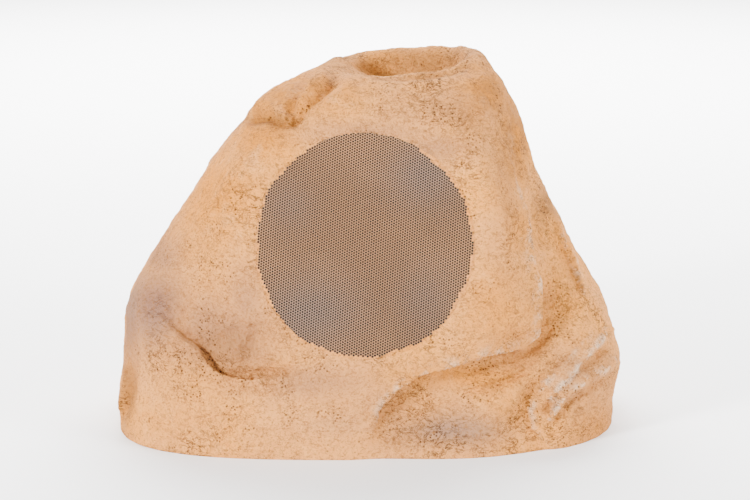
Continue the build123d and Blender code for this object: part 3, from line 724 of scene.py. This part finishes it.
# %% Centre and turn the lattice
LATTICE_LEAN = math.radians(-4.2)
flat = read_points(sheet)
cells = flat.reshape(-1, cell_points, 3)[:, :, :2].mean(1)
middle_cell = cells[np.argmin(np.linalg.norm(cells - cells.mean(0), axis=1))]
lean_cos, lean_sin = math.cos(LATTICE_LEAN), math.sin(LATTICE_LEAN)
turn = np.array(((lean_cos, lean_sin), (-lean_sin, lean_cos)))
flat[:, :2] = (flat[:, :2] - middle_cell) @ turn
cells = (cells - middle_cell) @ turn
radius = np.hypot(cells[:, 0], cells[:, 1])
kept = radius < SHEET_R - CELL_R
print("cells inside the rim", int(kept.sum()))

# %% [markdown]
# On the real grille the coat has run into the outer holes, up to an uneven line.
# Those cells could be left out, but then a gap would show under the coat. So their
# floors are raised to a shallow pit, and they get the stone's finish.

# %% Fill the cells near the rim and lay the sheet on the face
OPEN_R = 0.1012
PIT = 0.00035
OPEN_WAVES = ((1, 0.0008, 0.0), (2, 0.0024, TALL), (3, 0.0007, 2.2), (5, 0.0008, 0.3),
              (9, 0.0008, 3.1), (17, 0.0006, 1.0))
is_open = radius < wavy(OPEN_R, OPEN_WAVES, np.arctan2(cells[:, 1], cells[:, 0]))
filled_points = np.repeat(~is_open, cell_points)
flat[filled_points, 2] = np.maximum(flat[filled_points, 2], -PIT)
write_points(sheet, np.array(face_centre) + flat @ np.array((across, upward, outward)))
sheet.data.materials.append(None)
sheet.data.materials.append(None)
coated = np.repeat(~is_open, cell_faces).astype(np.int32)
sheet.data.polygons.foreach_set("material_index", coated)
print("holes", int((kept & is_open).sum()), "filled", int((kept & ~is_open).sum()))

# %% [markdown]
# A punched hole has no floor, so the floors of the open cells go, and so do all
# cells past the rim. A Weld modifier could join the cells that are left. Merging
# the doubled points in the same mesh does it in one step. Soft grey ovals stain
# the sheet, as they do the rock.

# %% Open the holes and stain the sheet
MERGE = 2e-5
SHEET_GREY = [(312, 312, 50, 34, 1.0), (425, 175, 40, 32, 0.9), (425, 300, 30, 36, 0.6),
              (290, 205, 26, 26, 0.5)]
gone = np.repeat(~kept, cell_faces)
gone[lowest::cell_faces] |= is_open
holes = bmesh.new()
holes.from_mesh(sheet.data)
gone_faces = [face for face, out in zip(holes.faces, gone) if out]
bmesh.ops.delete(holes, geom=gone_faces, context="FACES")
bmesh.ops.remove_doubles(holes, verts=holes.verts, dist=MERGE)
holes.to_mesh(sheet.data)
holes.free()
keep_tint(sheet, "sheet_grey", cover(SHEET_GREY, *photo_coordinates(read_points(sheet))))
print("sheet faces", len(sheet.data.polygons))

# %% [markdown]
# ## Node tools
# Every finish here is made of shader nodes. They could be joined by hand in the
# shader editor. A few small functions do the same in code: a noise, a ramp that
# makes a mask of it, a blend of two colours by a mask, and a bump. All patterns
# lie on object coordinates, so they stay on their piece wherever it goes.

# %% Noise and masks
def new_material(name):
    """A material with its node tree and its shader."""
    material = bpy.data.materials.new(name)
    material.use_nodes = True
    return material, material.node_tree, material.node_tree.nodes["Principled BSDF"]


def add_noise(tree, scale, detail=4.0, roughness=0.55, distortion=0.0, stretch=1.0):
    """Noise on object coordinates; scale counts per metre, and stretch flattens it in height."""
    place = tree.nodes.new("ShaderNodeTexCoord")
    flatten = tree.nodes.new("ShaderNodeVectorMath")
    flatten.operation = "MULTIPLY"
    flatten.inputs[1].default_value = (1, 1, stretch)
    tree.links.new(place.outputs["Object"], flatten.inputs[0])
    texture = tree.nodes.new("ShaderNodeTexNoise")
    texture.inputs["Scale"].default_value = scale
    texture.inputs["Detail"].default_value = detail
    texture.inputs["Roughness"].default_value = roughness
    texture.inputs["Distortion"].default_value = distortion
    tree.links.new(flatten.outputs[0], texture.inputs["Vector"])
    return texture.outputs["Fac"]


def ramp(tree, source, low, high):
    """Stretch a value from low..high to 0..1."""
    step = tree.nodes.new("ShaderNodeMapRange")
    step.interpolation_type = "SMOOTHSTEP"
    step.inputs["From Min"].default_value = low
    step.inputs["From Max"].default_value = high
    tree.links.new(source, step.inputs["Value"])
    return step.outputs["Result"]


def times(tree, first, second):
    """Multiply two sockets, or a socket by a number."""
    product = tree.nodes.new("ShaderNodeMath")
    product.operation = "MULTIPLY"
    tree.links.new(first, product.inputs[0])
    if isinstance(second, (int, float)):
        product.inputs[1].default_value = second
    else:
        tree.links.new(second, product.inputs[1])
    return product.outputs[0]


def noise_mask(tree, low, high, strength=1.0, **noise):
    """A mask from a noise that is stretched from low..high to 0..strength."""
    return times(tree, ramp(tree, add_noise(tree, **noise), low, high), strength)


print("mask tools", [tool.__name__ for tool in (add_noise, ramp, times, noise_mask)])

# %% [markdown]
# A painter lays thin coats over each other. One Mix node for each coat does the
# same, with a mask that says where it takes. The other tools make relief from a
# mask, and join colour and relief to the shader.

# %% Colour and bump
def blend_colour(tree, factor, first, second):
    """Mix two colours, each a socket or a plain colour, by a socket."""
    mix = tree.nodes.new("ShaderNodeMix")
    mix.data_type = "RGBA"
    tree.links.new(factor, mix.inputs[0])
    for socket, colour in ((mix.inputs[6], first), (mix.inputs[7], second)):
        if isinstance(colour, tuple):
            socket.default_value = (*colour, 1)
        else:
            tree.links.new(colour, socket)
    return mix.outputs[2]


def paint_layers(tree, colour, layers):
    """Paint layers over a first colour, each through its mask."""
    for mask, layer in layers:
        colour = blend_colour(tree, mask, colour, layer)
    return colour


def add_bump(tree, height, distance, strength, before=None):
    """Bump from a height socket, on top of another bump."""
    bump = tree.nodes.new("ShaderNodeBump")
    bump.inputs["Strength"].default_value = strength
    bump.inputs["Distance"].default_value = distance
    tree.links.new(height, bump.inputs["Height"])
    if before is not None:
        tree.links.new(before, bump.inputs["Normal"])
    return bump.outputs["Normal"]


def join_shader(tree, shader, colour, normal, roughness, shine=None, metallic=0.0):
    """Join a colour and a bump to the shader and set its gloss."""
    tree.links.new(colour, shader.inputs["Base Color"])
    tree.links.new(normal, shader.inputs["Normal"])
    shader.inputs["Roughness"].default_value = roughness
    shader.inputs["Metallic"].default_value = metallic
    if shine is not None:
        shader.inputs["Specular IOR Level"].default_value = shine


print("colour tools", [tool.__name__ for tool in (blend_colour, paint_layers, add_bump)])

# %% [markdown]
# ## The sandstone coat
# The real coat looks like sandstone: tan, with orange and pinkish grey stains,
# pale worn lips, and a dark wash that stays in its wrinkles, cracks and pits. The
# low sides of steps and grooves are painted darker as painted shade, and the
# wrinkles and grain are darkened both as wash and as painted shade of fine relief.
# It could be one noise between two colours, but that looks like cloud, not stone.
# So it is painted in layers from coarse to fine, as a painter would do it.

# %% Colours of the sandstone
TAN = (0.73, 0.30, 0.072)
ORANGE_TAN = (0.79, 0.295, 0.036)
DEEP_ORANGE = (0.64, 0.215, 0.006)
PINK_GREY = (0.24, 0.113, 0.068)
# brown of real stains and of painted shade
BROWN_STAIN_AND_SHADE = (0.26, 0.108, 0.028)
STONE = (0.28, 0.160, 0.100)
PALE = (0.92, 0.44, 0.12)
WORN_PALE = (0.74, 0.52, 0.34)
# painted shade in the hollows, and the dark wash and painted shade of wrinkles and grain
WASH_AND_SHADE = (0.26, 0.095, 0.020)
DARK = (0.035, 0.014, 0.006)
print("from tan", TAN, "to dark", DARK)

# %% [markdown]
# The stone's grain has many sizes, from clouds as wide as a hand to specks of two
# millimetres. Their numbers could be typed where they are used, but side by side
# they can be compared. Scales count per metre, and `low` and `high` say which part
# of a noise becomes the mask.

# %% Grain of the sandstone
ORANGE_CLOUDS = {"scale": 9.0, "low": 0.44, "high": 0.66}
PINK_CLOUDS = {"scale": 6.0, "detail": 5.0, "low": 0.48, "high": 0.66, "strength": 0.28}
MOTTLE = {"scale": 150.0, "detail": 6.0, "roughness": 0.7, "low": 0.35, "high": 0.75,
          "strength": 0.28}
FLAKES = {"scale": 70.0, "detail": 6.0, "roughness": 0.65, "low": 0.46, "high": 0.62}
# wrinkles and grain darken the low parts of their noise: dark wash and painted shade of fine
# relief
WRINKLE_WASH_AND_SHADE = {"scale": 210.0, "roughness": 0.6, "distortion": 0.8, "stretch": 1.5,
            "low": 0.46, "high": 0.36, "strength": 0.55}
GRAIN_WASH_AND_SHADE = {"scale": 480.0, "detail": 3.0, "roughness": 0.6, "low": 0.52, "high": 0.66,
         "strength": 0.50}
STAIN_BREAKS = {"detail": 5.0, "roughness": 0.65, "low": 0.30, "high": 0.50}
CRACK_LINES = {"detail": 5.0, "roughness": 0.62, "distortion": 0.6}
CRACK_ZONES = {"roughness": 0.6, "low": 0.44, "high": 0.66}
PIT_ZONES = {"scale": 30.0, "detail": 3.0, "low": 0.48, "high": 0.62}
CRACKS = {"scale": 75.0, "width": 0.018, "stretch": 1.8, "spread": 16.0}
HAIRS = {"scale": 120.0, "width": 0.016, "stretch": 1.0, "spread": 35.0}
PITS = {"scale": 300.0, "size": 0.36}
LUMPS = {"scale": 130.0, "detail": 7.0, "roughness": 0.65}
print("finest grain, mm", round(1000 / GRAIN_WASH_AND_SHADE["scale"], 1))

# %% [markdown]
# The tints of the skin come in through Attribute nodes. A plain oval would show
# its even edge from the side, so noise breaks it up. A crack is a thin line where
# a noise crosses its middle value, which gives long wandering lines that a
# Voronoi texture can't. A pit is the middle of a Voronoi cell.

# %% Stains, cracks and pits
MIDDLE_VALUE = 0.5
PIT_FLOOR = 0.4


def tint(tree, name):
    """A tint of the skin."""
    layer = tree.nodes.new("ShaderNodeAttribute")
    layer.attribute_name = name
    return layer.outputs["Fac"]


def uneven(tree, name, scale):
    """A tint of the skin, broken up by noise so that its edge isn't an even oval."""
    return times(tree, tint(tree, name), noise_mask(tree, scale=scale, **STAIN_BREAKS))


def add_cracks(tree, scale, width, stretch, spread):
    """Thin lines where a noise, flattened in height, crosses its middle value."""
    line = tree.nodes.new("ShaderNodeMath")
    line.operation = "COMPARE"
    line.inputs[1].default_value = MIDDLE_VALUE
    line.inputs[2].default_value = width
    tree.links.new(add_noise(tree, scale, stretch=stretch, **CRACK_LINES), line.inputs[0])
    return times(tree, line.outputs[0], noise_mask(tree, scale=spread, **CRACK_ZONES))


def add_pits(tree, scale, size):
    """Small round pits, more of them in some places."""
    place = tree.nodes.new("ShaderNodeTexCoord")
    pores = tree.nodes.new("ShaderNodeTexVoronoi")
    pores.inputs["Scale"].default_value = scale
    tree.links.new(place.outputs["Object"], pores.inputs["Vector"])
    pit = ramp(tree, pores.outputs["Distance"], size, size * PIT_FLOOR)
    return times(tree, pit, noise_mask(tree, **PIT_ZONES))


print("stone tools", [tool.__name__ for tool in (tint, uneven, add_cracks, add_pits)])

# %% [markdown]
# The coats go on in order: clouds, mottle, stains, painted shade in the hollows
# and worn lips, then the dark wash, whose wrinkles and grain are also painted shade
# of fine relief. Nodes could mix them in any order, but a wash goes on last on a
# painted rock, so that nothing covers it, and here too.

# %% Paint the sandstone
ORANGE_BREAKS, BROWN_BREAKS = 32.0, 45.0
STONE_SHARE, SHADE_SHARE = 0.8, 0.12
CRACK_WASH, HAIR_WASH, PIT_WASH = 0.75, 0.50, 0.85


def sandstone():
    """The rock's coat, from coarse stains to fine pits."""
    material, tree, shader = new_material("sandstone_coat")
    cracks, hairs = add_cracks(tree, **CRACKS), add_cracks(tree, **HAIRS)
    pits = add_pits(tree, **PITS)
    colour = paint_layers(tree, TAN, (
        (noise_mask(tree, **ORANGE_CLOUDS), ORANGE_TAN),
        (noise_mask(tree, **PINK_CLOUDS), PINK_GREY),
        (noise_mask(tree, **MOTTLE), PALE),
        (uneven(tree, "orange", ORANGE_BREAKS), DEEP_ORANGE),
        (tint(tree, "grey"), PINK_GREY),
        # brown stains, and painted shade in the dish, under the crown step and on the left edge
        (uneven(tree, "brown", BROWN_BREAKS), BROWN_STAIN_AND_SHADE),
        (times(tree, tint(tree, "stone"), STONE_SHARE), STONE),
        # painted shade on the low sides of steps and grooves
        (times(tree, tint(tree, "shade"), SHADE_SHARE), WASH_AND_SHADE),
        (times(tree, tint(tree, "scuff"), noise_mask(tree, **FLAKES)), WORN_PALE),
        # dark wash and painted shade of fine relief in the wrinkles and the grain
        (noise_mask(tree, **WRINKLE_WASH_AND_SHADE), WASH_AND_SHADE),
        (noise_mask(tree, **GRAIN_WASH_AND_SHADE), WASH_AND_SHADE),
        (times(tree, cracks, CRACK_WASH), DARK),
        (times(tree, hairs, HAIR_WASH), DARK),
        (times(tree, pits, PIT_WASH), DARK),
    ))
    normal = add_bump(tree, add_noise(tree, **LUMPS), distance=0.0120, strength=1.0)
    normal = add_bump(tree, cracks, distance=-0.0015, strength=0.8, before=normal)
    normal = add_bump(tree, pits, distance=-0.0012, strength=0.8, before=normal)
    join_shader(tree, shader, colour, normal, roughness=0.9, shine=0.15)
    return material


materials = {"sandstone_coat": sandstone()}
print("sandstone nodes", len(materials["sandstone_coat"].node_tree.nodes))

# %% [markdown]
# ## The grille's paint
# The real sheet has the same colours as the rock, but thin and dull, with grey
# showing through. It could share the sandstone, but cracks and pits don't run
# over punched metal. So it has a paint of its own, warm to brown by noise and
# grey where the ovals are.

# %% Paint the grille
SHEET_WARM, SHEET_BROWN = (0.40, 0.200, 0.085), (0.33, 0.165, 0.070)
SHEET_DULL = (0.28, 0.175, 0.120)
SHEET_CLOUDS = {"scale": 9.0, "detail": 3.0, "low": 0.42, "high": 0.6}
SHEET_GRAIN = {"scale": 900.0, "detail": 3.0}


def grille_paint():
    """Dull paint on the punched sheet."""
    material, tree, shader = new_material("grille_paint")
    colour = paint_layers(tree, SHEET_WARM, (
        (noise_mask(tree, **SHEET_CLOUDS), SHEET_BROWN),
        (tint(tree, "sheet_grey"), SHEET_DULL),
    ))
    normal = add_bump(tree, add_noise(tree, **SHEET_GRAIN), distance=0.0002, strength=0.5)
    join_shader(tree, shader, colour, normal, roughness=0.8, shine=0.25)
    return material


materials["grille_paint"] = grille_paint()
print("grille paint nodes", len(materials["grille_paint"].node_tree.nodes))

# %% [markdown]
# ## Plain finishes
# What is inside and underneath is moulded, turned, wound or woven, and hardly
# seen. One flat colour for each would do, but it looks like plastic in a close
# view. So one function gives each a slight change of tone and a fine grain, and
# a table holds the colour, the roughness and whether it is metal.

# %% Plain materials for the other pieces
TONE = {"scale": 40.0, "low": 0.35, "high": 0.65}
DARKER = 0.75
FINE_GRAIN = {"scale": 600.0, "detail": 3.0}
PLAIN = {
    "dark_cloth": ((0.012, 0.010, 0.008), 0.95, 0.0),
    "black_rubber": ((0.020, 0.020, 0.020), 0.75, 0.0),
    "black_steel": ((0.025, 0.025, 0.025), 0.45, 0.0),
    "cone_plastic": ((0.045, 0.045, 0.045), 0.5, 0.0),
    "amber_cloth": ((0.45, 0.24, 0.05), 0.8, 0.0),
    "coil_metal": ((0.55, 0.24, 0.10), 0.35, 1.0),
    "plated_steel": ((0.55, 0.55, 0.53), 0.35, 1.0),
    "ferrite": ((0.05, 0.05, 0.055), 0.65, 0.0),
    "black_plastic": ((0.025, 0.025, 0.025), 0.55, 0.0),
    "terminal_board": ((0.25, 0.11, 0.04), 0.6, 0.0),
    "lead_jacket": ((0.35, 0.03, 0.025), 0.45, 0.0),
    "circuit_board": ((0.02, 0.12, 0.05), 0.4, 0.0),
    "capacitor_film": ((0.40, 0.28, 0.04), 0.35, 0.0),
    "resistor_body": ((0.65, 0.62, 0.55), 0.7, 0.0),
}


def plain(name, colour, roughness, metallic):
    """A moulded, turned or woven surface with a fine grain."""
    material, tree, shader = new_material(name)
    darker = tuple(c * DARKER for c in colour)
    tone = blend_colour(tree, noise_mask(tree, **TONE), colour, darker)
    normal = add_bump(tree, add_noise(tree, **FINE_GRAIN), distance=0.0002, strength=0.4)
    join_shader(tree, shader, tone, normal, roughness, metallic=metallic)
    return material


for name, look in PLAIN.items():
    materials[name] = plain(name, *look)
print("materials", len(materials))

# %% [markdown]
# ## Put the finishes on
# The record of the part names a slot for each solid, and the materials have the
# names of those slots. They could be put on one by one, but a loop over the
# record can't forget a piece. The sheet has two: paint, and stone where the coat
# has filled its holes.

# %% Put the finishes on
for entry in frame["record"]["subparts"]:
    node = nodes[entry["node"]]
    node.data.materials.clear()
    node.data.materials.append(materials[entry["material_slot"]])
rock.data.materials.append(materials["sandstone_coat"])
sheet.data.materials[0] = materials["grille_paint"]
sheet.data.materials[1] = materials["sandstone_coat"]

# %% [markdown]
# ## Join the frame
# Nothing moves on the real speaker, so both new pieces ride on its one body.
# The solid that each stands for is hidden, so that it is not shown inside it.

# %% Ride and replace
new_pieces = ((rock, "rock_shell", "sandstone_coat"), (sheet, "grille", "grille_paint"))
for piece, node, slot in new_pieces:
    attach(piece, "root")
    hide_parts(node)
    print(piece.name, "stands for", node)

# %% [markdown]
# ## Studio
# The photograph has a white background and soft light. A picture of the sky could
# light the rock, but it would need an image. A large pale plane, an even white
# world and square area lights give the same softness.

# %% Floor and world
FLOOR_SIZE = 12
FLOOR_WHITE = 0.92
FLOOR_ROUGHNESS = 0.9
WORLD_LIGHT = 0.4
bpy.ops.object.select_all(action="DESELECT")
bpy.ops.mesh.primitive_plane_add(size=FLOOR_SIZE, location=(0, 0, 0))
floor = bpy.context.object
floor.name = "floor"
pale, tree, shader = new_material("pale_floor")
shader.inputs["Base Color"].default_value = (FLOOR_WHITE, FLOOR_WHITE, FLOOR_WHITE, 1)
shader.inputs["Roughness"].default_value = FLOOR_ROUGHNESS
floor.data.materials.append(pale)

world = bpy.data.worlds.new("studio")
bpy.context.scene.world = world
world.use_nodes = True
background = world.node_tree.nodes["Background"]
background.inputs["Color"].default_value = (1, 1, 1, 1)
background.inputs["Strength"].default_value = WORLD_LIGHT
print("floor", FLOOR_SIZE, "m wide, world light", WORLD_LIGHT)

# %% [markdown]
# The photograph's light comes mostly from the left and low, so that every wrinkle
# shows. One light would leave the right side black, so a wider one fills it in.
# A weak light from above and a strong one on the floor behind keep the
# background pale.

# %% Lights
MIDDLE = (0, 0, 0.18)
LIGHTS = {
    "key": ((-1.9, -1.8, 0.85), MIDDLE, 0.5, 255),
    "fill": ((2.0, -1.3, 0.7), MIDDLE, 1.0, 140),
    "top": ((0.2, 0.6, 2.4), MIDDLE, 1.6, 10),
    "floor behind": ((0, 3.2, 2.6), (0, 3.4, 0), 4.0, 1300),
}
for name, (place, aim, size, power) in LIGHTS.items():
    bpy.ops.object.light_add(type="AREA", location=place)
    light = bpy.context.object
    light.name = name
    light.data.size = size
    light.data.energy = power
    light.rotation_euler = (Vector(aim) - Vector(place)).to_track_quat("-Z", "Y").to_euler()
    print(name, "light of", power, "W")

# %% [markdown]
# The camera stands where the photographer stood, a little above the rock, with a
# long lens. Its place could be set by eye in the viewport. It was found by
# comparing the outlines of renders with the photograph instead, and measured
# above, because the details needed it too.

# %% Camera
bpy.ops.object.camera_add(location=camera_place, rotation=(math.pi / 2 - CAMERA_UP, 0, 0))
camera = bpy.context.object
camera.data.lens = LENS
camera.data.sensor_width = SENSOR
bpy.context.scene.camera = camera
print("camera", [round(v, 3) for v in camera.location])
